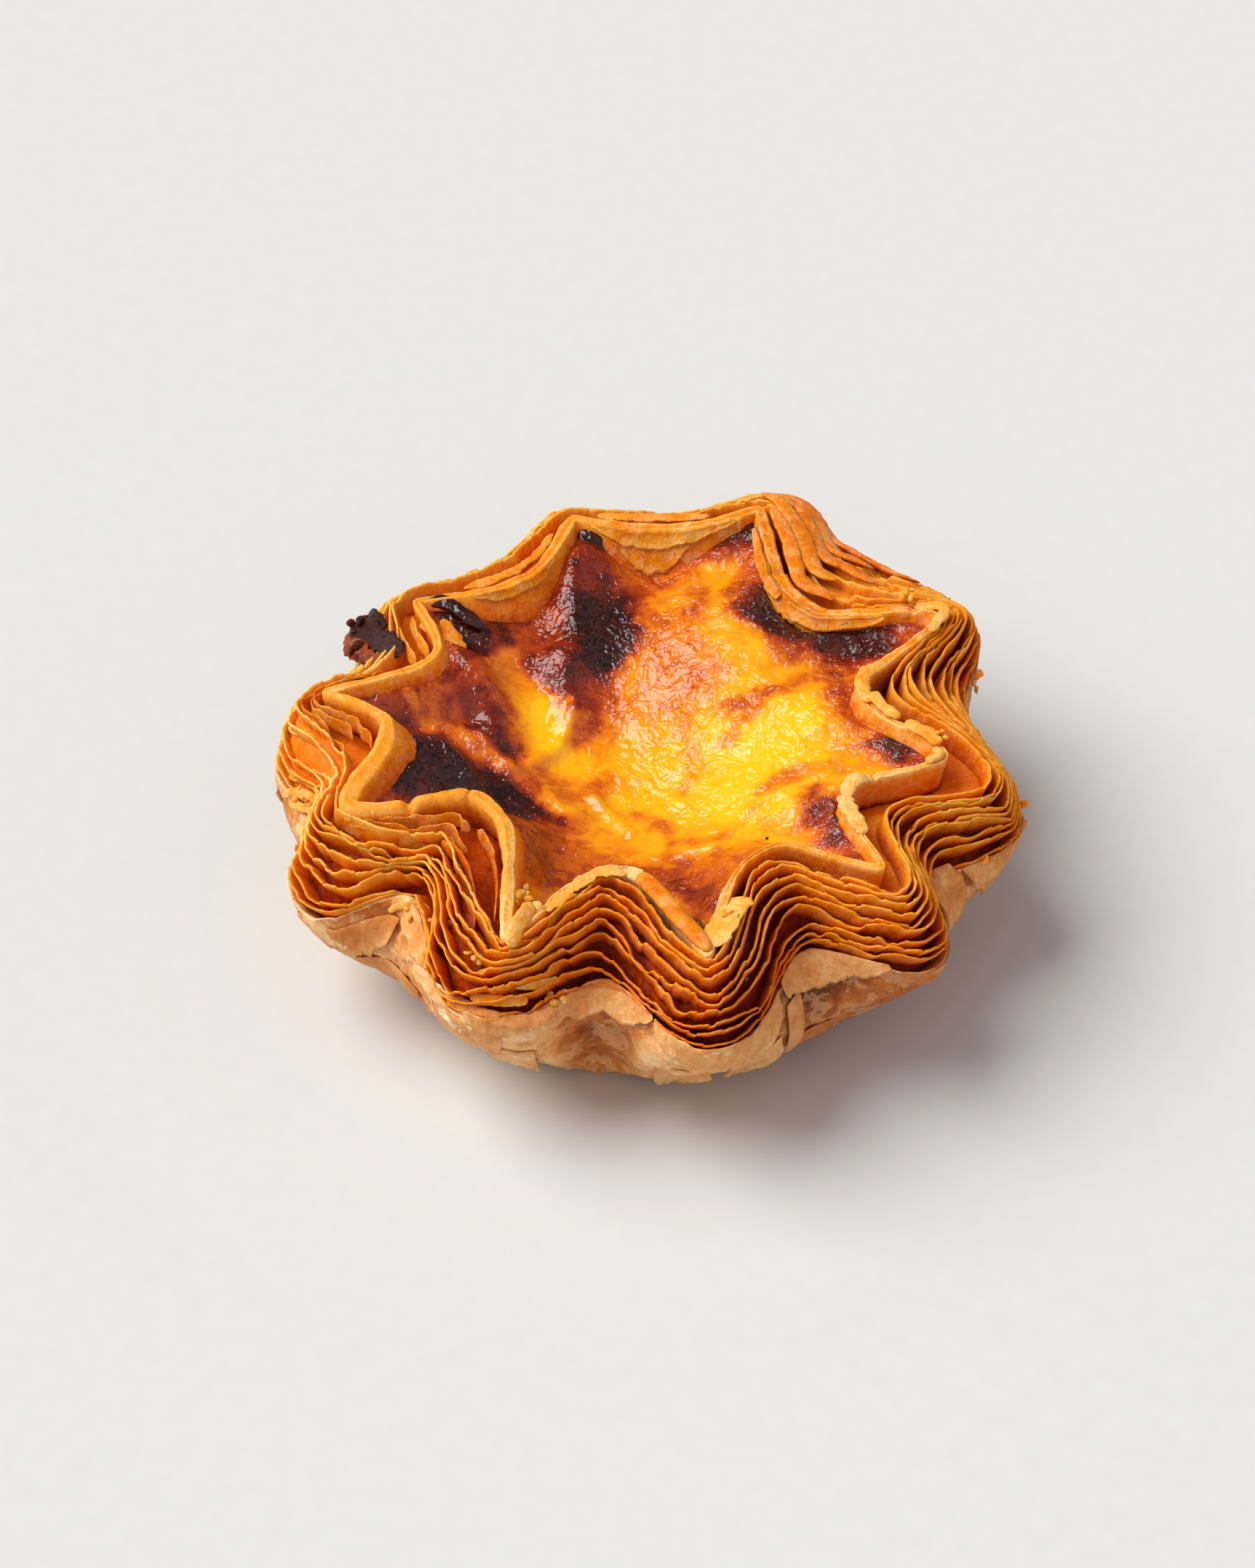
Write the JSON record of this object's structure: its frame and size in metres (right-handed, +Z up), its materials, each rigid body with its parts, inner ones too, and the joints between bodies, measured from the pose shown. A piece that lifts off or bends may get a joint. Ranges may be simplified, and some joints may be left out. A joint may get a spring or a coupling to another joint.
{
  "type": "egg custard tart",
  "caption": "Small open tart: ruffled, many-leaved puff pastry crust round a sunken baked custard with browned patches, on a flat base.",
  "frame": {"origin": "centre of the bounding box's underside, on the surface the tart stands on", "axes": "+Z up through the custard; +X to the right and -Y towards the viewer in the picture"},
  "size_m": [0.0814, 0.081, 0.0278],
  "materials": {
    "crust": "dry baked puff pastry",
    "custard": "glossy baked custard"
  },
  "bodies": {
    "root": {"crust": "crust", "custard": "custard"}
  },
  "joints": []
}
